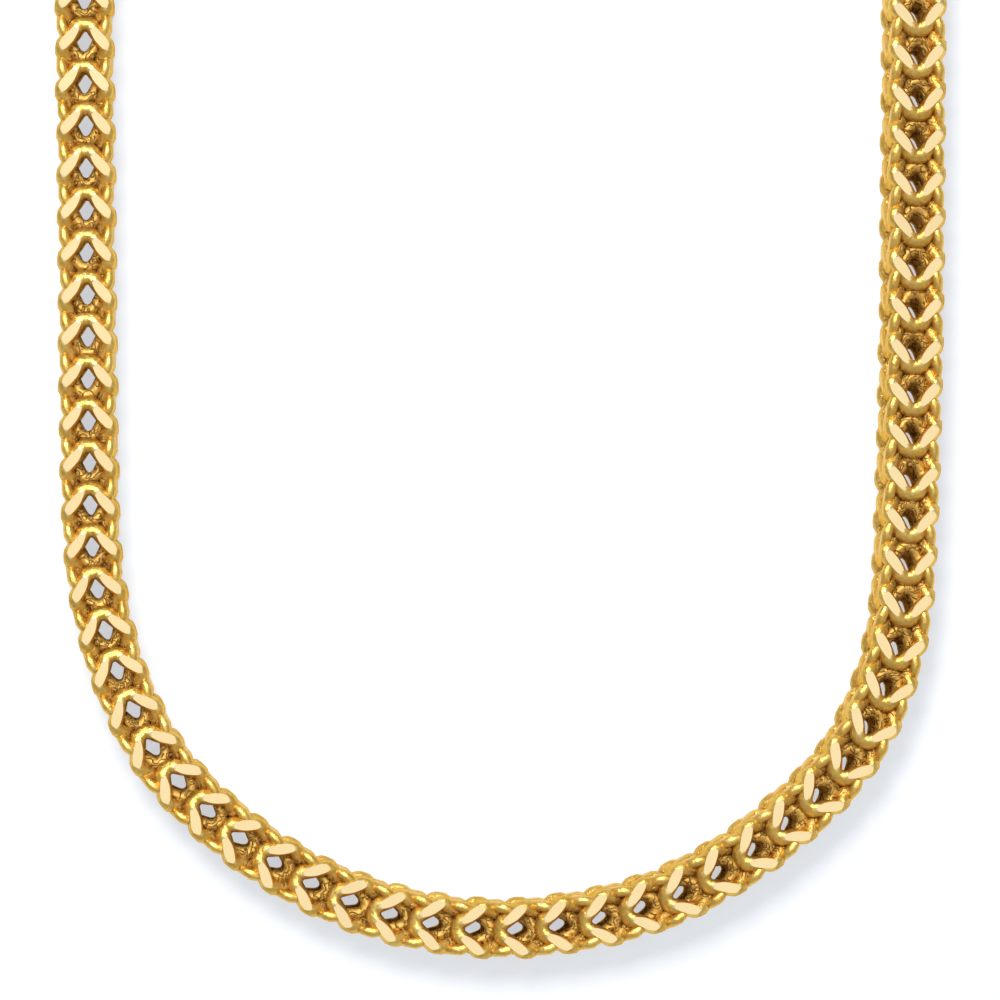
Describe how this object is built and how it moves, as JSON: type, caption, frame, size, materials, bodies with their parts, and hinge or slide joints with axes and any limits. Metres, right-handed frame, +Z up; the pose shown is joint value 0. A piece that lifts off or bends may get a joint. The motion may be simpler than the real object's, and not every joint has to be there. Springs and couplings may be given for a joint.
{
  "type": "franco chain necklace",
  "caption": "Square woven neck chain of folded wire links with flat cut faces, laid out as a whole loop with end caps, two jump rings and a plain hook clasp.",
  "frame": {"origin": "on the surface that the necklace lies on, under the middle of the loop", "axes": "+Z up, away from the surface; +Y along the two strands, towards the clasp; +X across the loop"},
  "size_m": [0.0915, 0.2058, 0.0067],
  "materials": {
    "chain_gold": "polished yellow gold, diamond cut on the four faces",
    "fitting_gold": "polished yellow gold"
  },
  "bodies": {
    "root": {"chain": "chain_gold", "end_cap_start": "fitting_gold", "jump_ring_start": "fitting_gold", "clasp": "fitting_gold", "jump_ring_finish": "fitting_gold", "end_cap_finish": "fitting_gold"}
  },
  "joints": []
}
